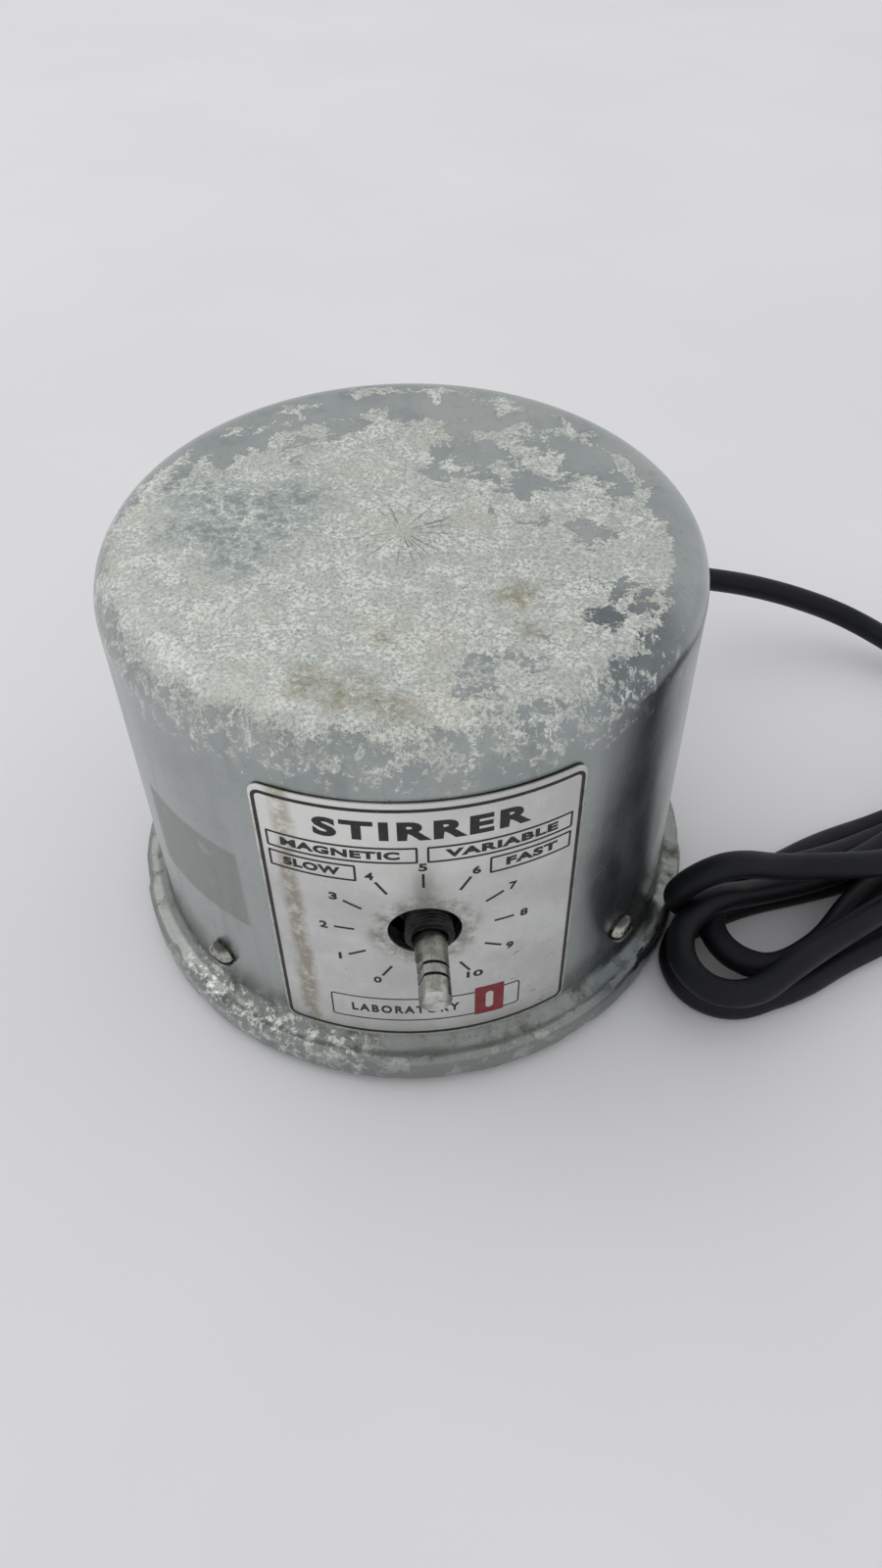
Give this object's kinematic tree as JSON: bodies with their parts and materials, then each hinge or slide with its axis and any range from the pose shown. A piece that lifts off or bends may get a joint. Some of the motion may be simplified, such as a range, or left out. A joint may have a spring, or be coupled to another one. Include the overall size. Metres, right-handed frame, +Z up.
{
  "type": "magnetic stirrer",
  "caption": "Drum-shaped laboratory magnetic stirrer with a flat worn top, flanged foot, front dial plate with a bare speed-control shaft, and a black mains cord.",
  "frame": {"origin": "on the surface that the stirrer stands on, at the middle of its plan outline over the flange and the control shaft, cord left out; the drum's own axis is 4.9 mm further back, at y = +4.9 mm", "axes": "+Z up through the flat top, -Y out of the front nameplate along the control shaft, +X to the right seen from the front"},
  "size_m": [0.2812, 0.1528, 0.0995],
  "materials": {
    "cast_housing": "worn satin grey hammertone paint over cast aluminium",
    "nameplate": "satin aluminium with black print",
    "nickel_screw": "nickel plated, slotted",
    "pan_zinc": "zinc plated sheet steel",
    "foot_rubber": "matte black",
    "lamination": "stacked steel laminations",
    "copper": "bare copper",
    "enamelled_wire": "enamelled copper wire",
    "bobbin_nylon": "natural nylon",
    "zinc_plate": "zinc plated steel",
    "hub_aluminium": "machined",
    "bronze": "sintered bronze",
    "plain_steel": "bright steel",
    "black_steel": "black oxide",
    "alnico": "cast magnet alloy",
    "brass": "plain brass",
    "ceramic": "glazed ceramic",
    "resistance_wire": "resistance wire in cement",
    "shaft_nickel": "nickel plated, turned",
    "carbon": "graphite",
    "lead_black": "black insulated lead",
    "lead_white": "white insulated lead",
    "cord_rubber": "black rubber",
    "plug_rubber": "moulded black rubber"
  },
  "bodies": {
    "stirrer": {"base_pan": "pan_zinc", "bracket_screw_1": "plain_steel", "bracket_screw_2": "plain_steel", "bushing_nut": "nickel_screw", "coil_bobbin": "bobbin_nylon", "coil_winding": "enamelled_wire", "control_bracket": "zinc_plate", "control_bushing": "black_steel", "cord": "cord_rubber", "cord_hank": "cord_rubber", "cord_tail": "cord_rubber", "end_terminal_1": "brass", "end_terminal_2": "brass", "foot_1": "foot_rubber", "foot_2": "foot_rubber", "foot_3": "foot_rubber", "foot_4": "foot_rubber", "housing": "cast_housing", "lead_control_to_coil": "lead_white", "lead_cord_to_coil": "lead_white", "lead_cord_to_control": "lead_black", "lock_washer": "plain_steel", "lower_bearing_bracket": "zinc_plate", "lower_bush": "bronze", "motor_nut_1": "plain_steel", "motor_nut_2": "plain_steel", "motor_screw_1": "plain_steel", "motor_screw_2": "plain_steel", "motor_spacer_1": "zinc_plate", "motor_spacer_2": "zinc_plate", "nameplate": "nameplate", "plug_blade_1": "brass", "plug_blade_2": "brass", "plug_body": "plug_rubber", "rheostat_base": "ceramic", "rheostat_winding": "resistance_wire", "shading_ring_1": "copper", "shading_ring_2": "copper", "side_screw_1": "nickel_screw", "side_screw_2": "nickel_screw", "side_screw_3": "nickel_screw", "stator_core": "lamination", "strain_relief": "cord_rubber", "upper_bearing_bracket": "zinc_plate", "upper_bush": "bronze", "wiper_terminal": "brass"},
    "spinner": {"motor_shaft": "plain_steel", "rotor": "lamination", "thrust_washer": "bobbin_nylon", "magnet_hub": "hub_aluminium", "hub_set_screw": "black_steel", "bar_magnet": "alnico", "magnet_screw_1": "brass", "magnet_screw_2": "brass"},
    "control_spindle": {"control_shaft": "shaft_nickel", "contact_arm": "brass", "contact_brush": "carbon"}
  },
  "joints": [
    {"name": "rotor_spin", "type": "hinge", "parent": "stirrer", "child": "spinner", "pos_m": [0, 0.0049, 0.05], "axis": [0, 0, 1], "continuous": true},
    {"name": "speed_control", "type": "hinge", "parent": "stirrer", "child": "control_spindle", "pos_m": [0.0009, -0.05, 0.0494], "axis": [0, 1, 0], "range_deg": [0, 300]}
  ]
}
